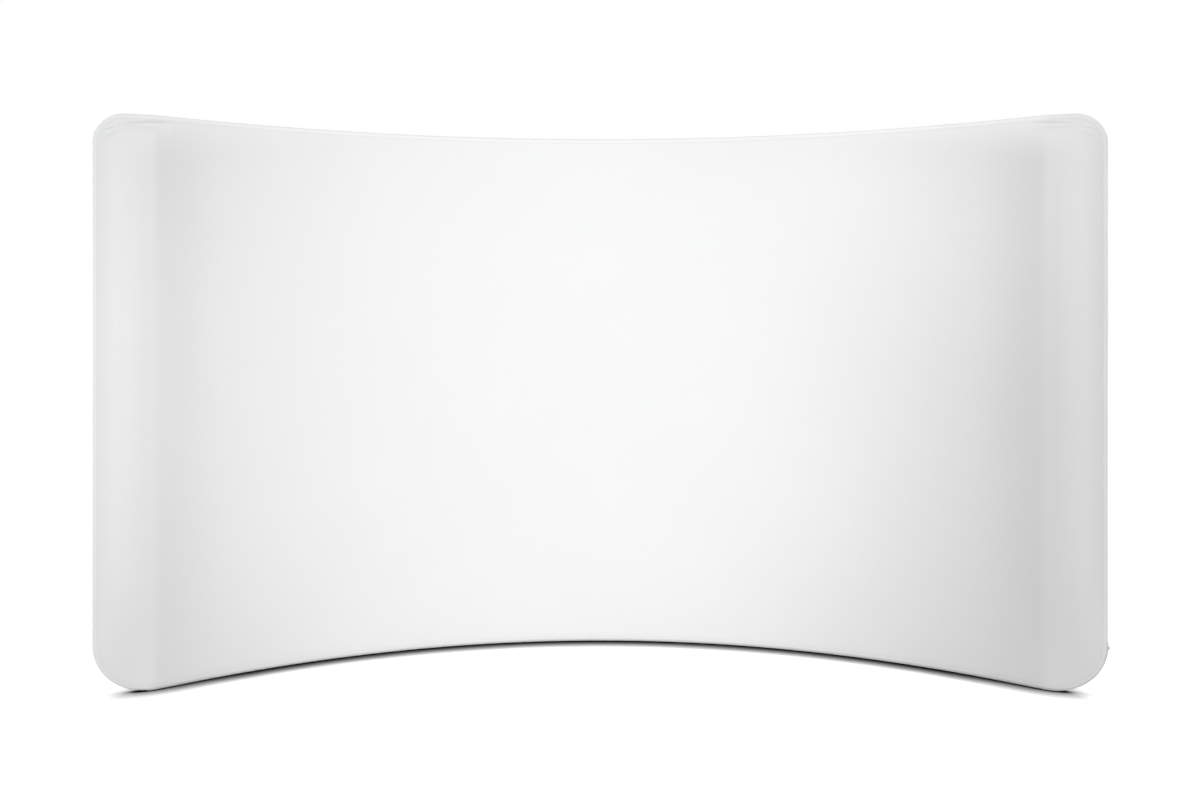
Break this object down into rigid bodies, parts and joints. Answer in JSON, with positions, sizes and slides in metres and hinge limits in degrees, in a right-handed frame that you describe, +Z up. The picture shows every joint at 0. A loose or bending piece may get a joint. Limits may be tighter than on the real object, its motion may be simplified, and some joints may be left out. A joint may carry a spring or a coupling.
{
  "type": "pop up display backwall",
  "caption": "Free-standing curved display wall: a slim tube frame, bent to a concave arc in plan, inside a zipped white stretch-fabric cover with rounded corners.",
  "frame": {"origin": "on the floor, under the middle of the wall's box", "axes": "+X to the right seen from the concave front, +Y to the back, +Z up"},
  "size_m": [4.0094, 0.6853, 2.3],
  "materials": {
    "tube": "anodised, satin",
    "sleeve": "mill finish",
    "rivet": "plain",
    "spring_steel": "zinc plated",
    "cover_fabric": "white stretch knit",
    "zip_tape": "woven white tape",
    "zip_chain": "white coil",
    "zip_metal": "white enamel"
  },
  "bodies": {
    "wall": {"corner_top_left": "tube", "corner_top_right": "tube", "corner_bottom_left": "tube", "corner_bottom_right": "tube", "top_rail_1": "tube", "top_rail_2": "tube", "top_rail_3": "tube", "top_rail_4": "tube", "bottom_rail_1": "tube", "bottom_rail_2": "tube", "bottom_rail_3": "tube", "bottom_rail_4": "tube", "left_upright_lower": "tube", "left_upright_upper": "tube", "right_upright_lower": "tube", "right_upright_upper": "tube", "left_post_lower": "tube", "left_post_upper": "tube", "right_post_lower": "tube", "right_post_upper": "tube", "top_sleeves": "sleeve", "bottom_sleeves": "sleeve", "left_sleeves": "sleeve", "right_sleeves": "sleeve", "post_sleeves": "sleeve", "post_stubs": "sleeve", "sleeve_rivets": "rivet", "spring_clips": "spring_steel", "front_panel": "cover_fabric", "back_panel": "cover_fabric", "zip_tape_front": "zip_tape", "zip_tape_back": "zip_tape", "zip_chain_front": "zip_chain", "zip_chain_back": "zip_chain", "zip_stops": "zip_chain"},
    "top_button_1": {"top_button_1": "spring_steel"},
    "top_button_2": {"top_button_2": "spring_steel"},
    "top_button_3": {"top_button_3": "spring_steel"},
    "top_button_4": {"top_button_4": "spring_steel"},
    "top_button_5": {"top_button_5": "spring_steel"},
    "bottom_button_1": {"bottom_button_1": "spring_steel"},
    "bottom_button_2": {"bottom_button_2": "spring_steel"},
    "bottom_button_3": {"bottom_button_3": "spring_steel"},
    "bottom_button_4": {"bottom_button_4": "spring_steel"},
    "bottom_button_5": {"bottom_button_5": "spring_steel"},
    "left_button_1": {"left_button_1": "spring_steel"},
    "left_button_2": {"left_button_2": "spring_steel"},
    "left_button_3": {"left_button_3": "spring_steel"},
    "right_button_1": {"right_button_1": "spring_steel"},
    "right_button_2": {"right_button_2": "spring_steel"},
    "right_button_3": {"right_button_3": "spring_steel"},
    "post_button_left": {"post_button_left": "spring_steel"},
    "post_button_right": {"post_button_right": "spring_steel"},
    "slider": {"zip_slider": "zip_metal"},
    "pull": {"zip_pull": "zip_metal"}
  },
  "joints": [
    {"name": "top_button_1_press", "type": "hinge", "parent": "wall", "child": "top_button_1", "pos_m": [-1.69824, -0.20146, 2.2705], "axis": [0.5522, -0.8337, 0], "range_deg": [0, 5.14], "stiffness_Nm_per_rad": 0.8, "springref_deg": -17.19},
    {"name": "top_button_2_press", "type": "hinge", "parent": "wall", "child": "top_button_2", "pos_m": [-0.89859, 0.18769, 2.2705], "axis": [0.2835, -0.959, 0], "range_deg": [0, 5.14], "stiffness_Nm_per_rad": 0.8, "springref_deg": -17.19},
    {"name": "top_button_3_press", "type": "hinge", "parent": "wall", "child": "top_button_3", "pos_m": [-0.02, 0.32534, 2.2705], "axis": [-0.01, -1, 0], "range_deg": [0, 5.14], "stiffness_Nm_per_rad": 0.8, "springref_deg": -17.19},
    {"name": "top_button_4_press", "type": "hinge", "parent": "wall", "child": "top_button_4", "pos_m": [0.86035, 0.19941, 2.2705], "axis": [-0.3027, -0.9531, 0], "range_deg": [0, 5.14], "stiffness_Nm_per_rad": 0.8, "springref_deg": -17.19},
    {"name": "top_button_5_press", "type": "hinge", "parent": "wall", "child": "top_button_5", "pos_m": [1.69824, -0.20146, 2.2705], "axis": [0.5522, 0.8337, 0], "range_deg": [0, 5.14], "stiffness_Nm_per_rad": 0.8, "springref_deg": -17.19},
    {"name": "bottom_button_1_press", "type": "hinge", "parent": "wall", "child": "bottom_button_1", "pos_m": [-1.69824, -0.20146, 0.0328], "axis": [-0.5522, 0.8337, 0], "range_deg": [0, 5.14], "stiffness_Nm_per_rad": 0.8, "springref_deg": -17.19},
    {"name": "bottom_button_2_press", "type": "hinge", "parent": "wall", "child": "bottom_button_2", "pos_m": [-0.89859, 0.18769, 0.0328], "axis": [-0.2835, 0.959, 0], "range_deg": [0, 5.14], "stiffness_Nm_per_rad": 0.8, "springref_deg": -17.19},
    {"name": "bottom_button_3_press", "type": "hinge", "parent": "wall", "child": "bottom_button_3", "pos_m": [-0.02, 0.32534, 0.0328], "axis": [0.01, 1, 0], "range_deg": [0, 5.14], "stiffness_Nm_per_rad": 0.8, "springref_deg": -17.19},
    {"name": "bottom_button_4_press", "type": "hinge", "parent": "wall", "child": "bottom_button_4", "pos_m": [0.86035, 0.19941, 0.0328], "axis": [0.3027, 0.9531, 0], "range_deg": [0, 5.14], "stiffness_Nm_per_rad": 0.8, "springref_deg": -17.19},
    {"name": "bottom_button_5_press", "type": "hinge", "parent": "wall", "child": "bottom_button_5", "pos_m": [1.69824, -0.20146, 0.0328], "axis": [-0.5522, -0.8337, 0], "range_deg": [0, 5.14], "stiffness_Nm_per_rad": 0.8, "springref_deg": -17.19},
    {"name": "left_button_1_press", "type": "hinge", "parent": "wall", "child": "left_button_1", "pos_m": [-1.97106, -0.32141, 0.245], "axis": [0.3062, -0.952, 0], "range_deg": [0, 5.14], "stiffness_Nm_per_rad": 0.8, "springref_deg": -17.19},
    {"name": "left_button_2_press", "type": "hinge", "parent": "wall", "child": "left_button_2", "pos_m": [-1.97106, -0.32141, 1.13], "axis": [0.3062, -0.952, 0], "range_deg": [0, 5.14], "stiffness_Nm_per_rad": 0.8, "springref_deg": -17.19},
    {"name": "left_button_3_press", "type": "hinge", "parent": "wall", "child": "left_button_3", "pos_m": [-1.97106, -0.32141, 2.055], "axis": [-0.3062, 0.952, 0], "range_deg": [0, 5.14], "stiffness_Nm_per_rad": 0.8, "springref_deg": -17.19},
    {"name": "right_button_1_press", "type": "hinge", "parent": "wall", "child": "right_button_1", "pos_m": [1.97106, -0.32141, 0.245], "axis": [0.3062, 0.952, 0], "range_deg": [0, 5.14], "stiffness_Nm_per_rad": 0.8, "springref_deg": -17.19},
    {"name": "right_button_2_press", "type": "hinge", "parent": "wall", "child": "right_button_2", "pos_m": [1.97106, -0.32141, 1.13], "axis": [0.3062, 0.952, 0], "range_deg": [0, 5.14], "stiffness_Nm_per_rad": 0.8, "springref_deg": -17.19},
    {"name": "right_button_3_press", "type": "hinge", "parent": "wall", "child": "right_button_3", "pos_m": [1.97106, -0.32141, 2.055], "axis": [-0.3062, -0.952, 0], "range_deg": [0, 5.14], "stiffness_Nm_per_rad": 0.8, "springref_deg": -17.19},
    {"name": "post_button_left_press", "type": "hinge", "parent": "wall", "child": "post_button_left", "pos_m": [-0.46845, 0.28821, 1.13], "axis": [0.16, -0.9871, 0], "range_deg": [0, 5.14], "stiffness_Nm_per_rad": 0.8, "springref_deg": -17.19},
    {"name": "post_button_right_press", "type": "hinge", "parent": "wall", "child": "post_button_right", "pos_m": [0.46845, 0.28821, 1.13], "axis": [0.16, 0.9871, 0], "range_deg": [0, 5.14], "stiffness_Nm_per_rad": 0.8, "springref_deg": -17.19},
    {"name": "zip_slider_run", "type": "hinge", "parent": "wall", "child": "slider", "pos_m": [1.81085, -0.26988, 0.2011], "axis": [0.3062, 0.952, 0], "range_deg": [0, 55]},
    {"name": "zip_pull_swing", "type": "hinge", "parent": "slider", "child": "pull", "pos_m": [2.00592, -0.33262, 0.19041], "axis": [-0.3062, -0.952, 0], "range_deg": [-8, 180]}
  ]
}
